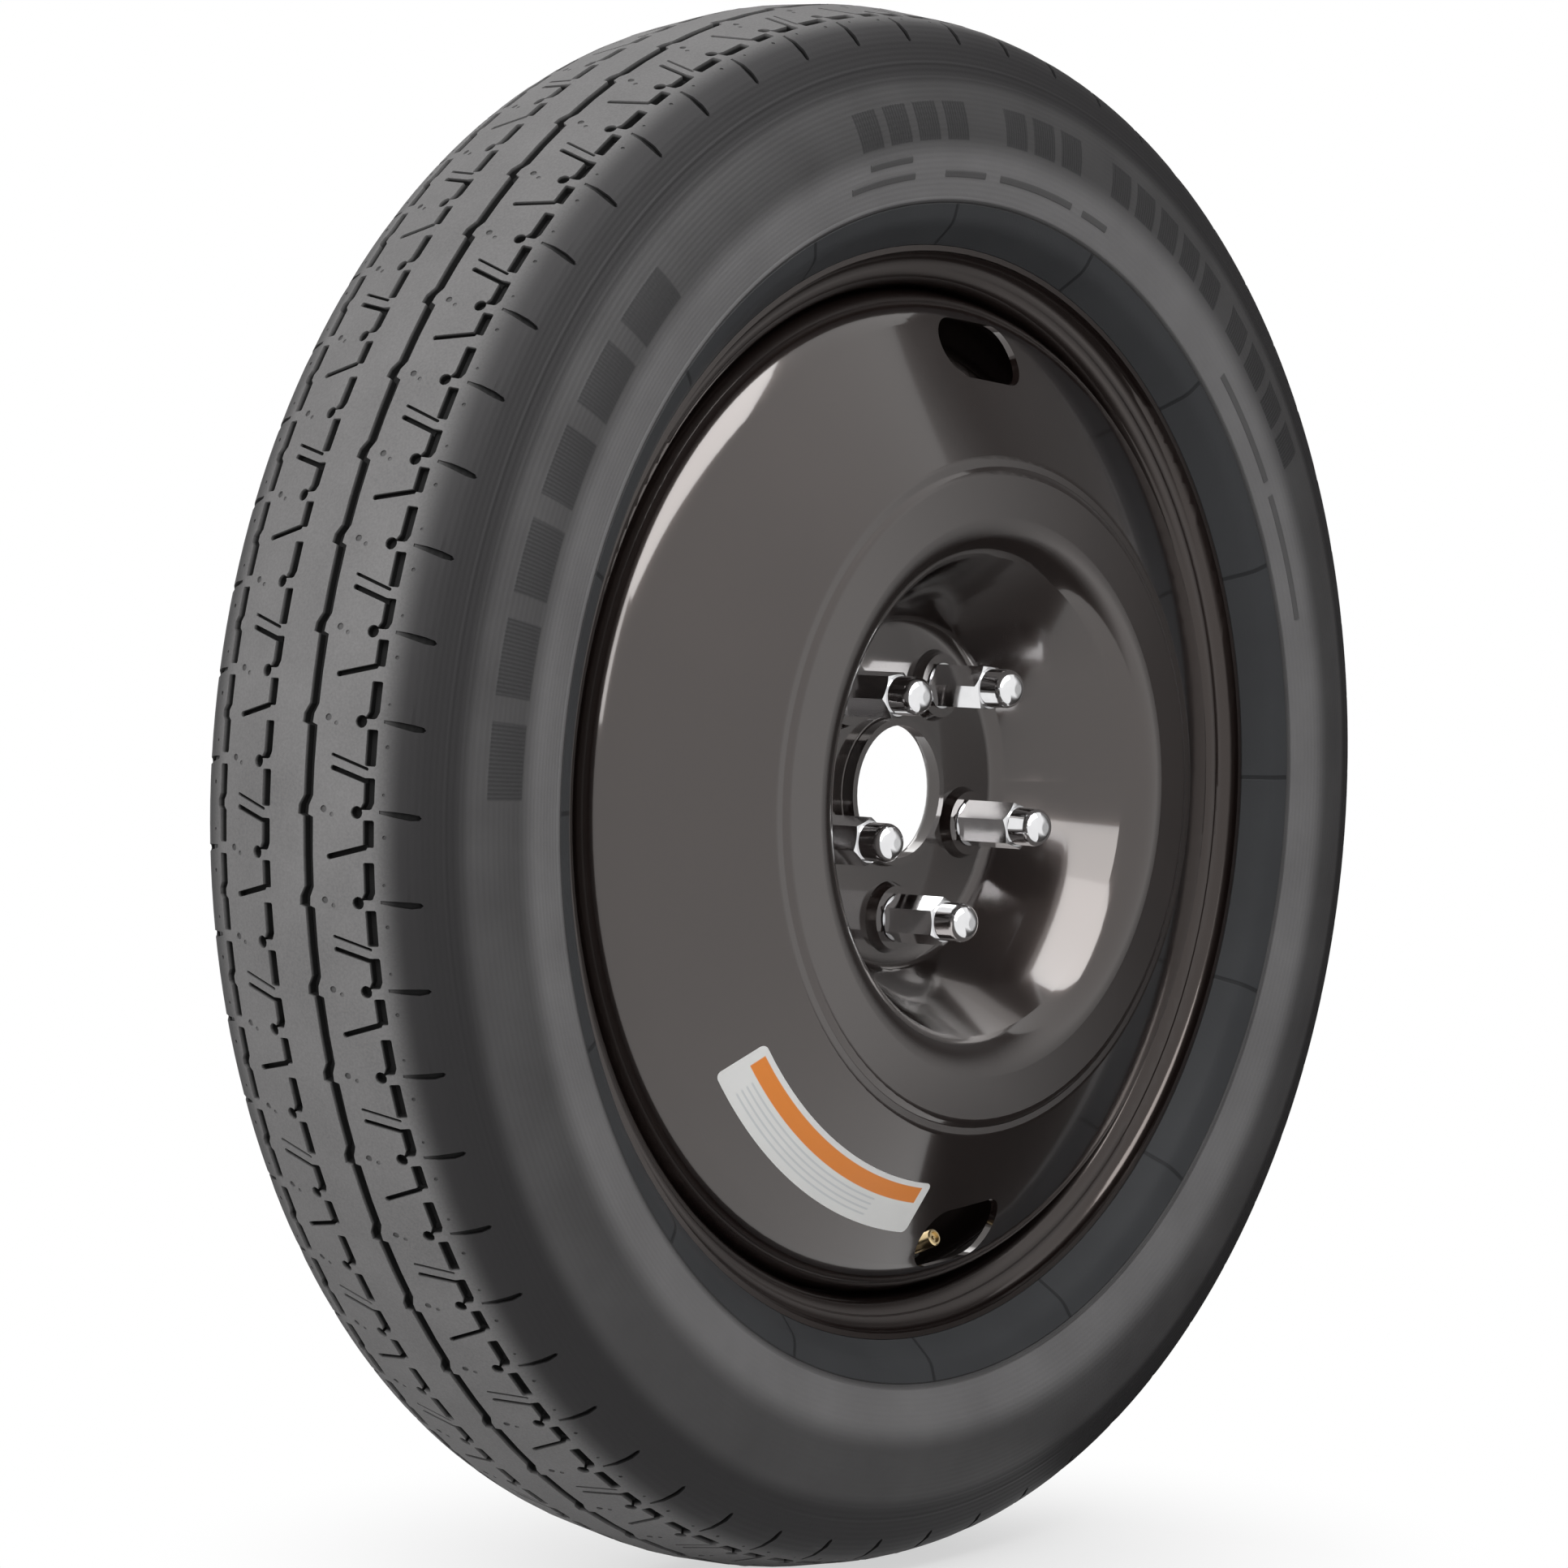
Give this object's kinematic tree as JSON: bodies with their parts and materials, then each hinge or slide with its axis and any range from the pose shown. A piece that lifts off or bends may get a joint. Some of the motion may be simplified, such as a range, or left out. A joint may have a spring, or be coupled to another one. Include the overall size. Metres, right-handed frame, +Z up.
{
  "type": "temporary spare wheel",
  "caption": "Narrow temporary spare wheel: black steel rim and pressed disc, rubber tyre with shallow tread, chrome closed-end nuts, snap-in valve with a sprung core.",
  "frame": {"origin": "centre of the hub mounting face", "axes": "+Y inboard along the wheel's axle, +Z up, +X across; the wheel spins about Y and its outer face looks to -Y"},
  "size_m": [0.708, 0.1791, 0.708],
  "materials": {
    "tyre": "moulded rubber, dusty grey on the tread, darker on the bead",
    "rim": "gloss black dip paint",
    "disc": "gloss black dip paint",
    "disc_welds": "gloss black paint over weld metal",
    "wheel_nuts": "polished chrome plate",
    "label": "printed film, white field with an orange band",
    "valve_rubber": "matt black rubber",
    "valve_stem": "plain brass",
    "core_plug": "plain brass",
    "core_barrel": "plain brass",
    "core_gasket": "red sealing rubber",
    "core_pin": "plain brass",
    "core_cup_seal": "black sealing rubber",
    "core_spring": "drawn steel wire"
  },
  "bodies": {
    "wheel": {"tyre": "tyre", "rim": "rim", "disc": "disc", "disc_welds": "disc_welds", "wheel_nuts": "wheel_nuts", "label": "label", "valve_rubber": "valve_rubber", "valve_stem": "valve_stem", "core_plug": "core_plug", "core_barrel": "core_barrel", "core_gasket": "core_gasket", "core_spring": "core_spring"},
    "valve_pin": {"core_pin": "core_pin", "core_cup_seal": "core_cup_seal"}
  },
  "joints": [
    {"name": "valve_pin_slide", "type": "slide", "parent": "wheel", "child": "valve_pin", "axis": [0.02, 0.9245, -0.3807], "range_m": [0, 0.0015], "stiffness_N_per_m": 1500, "springref_m": -0.001, "deforming": ["core_spring"]}
  ]
}
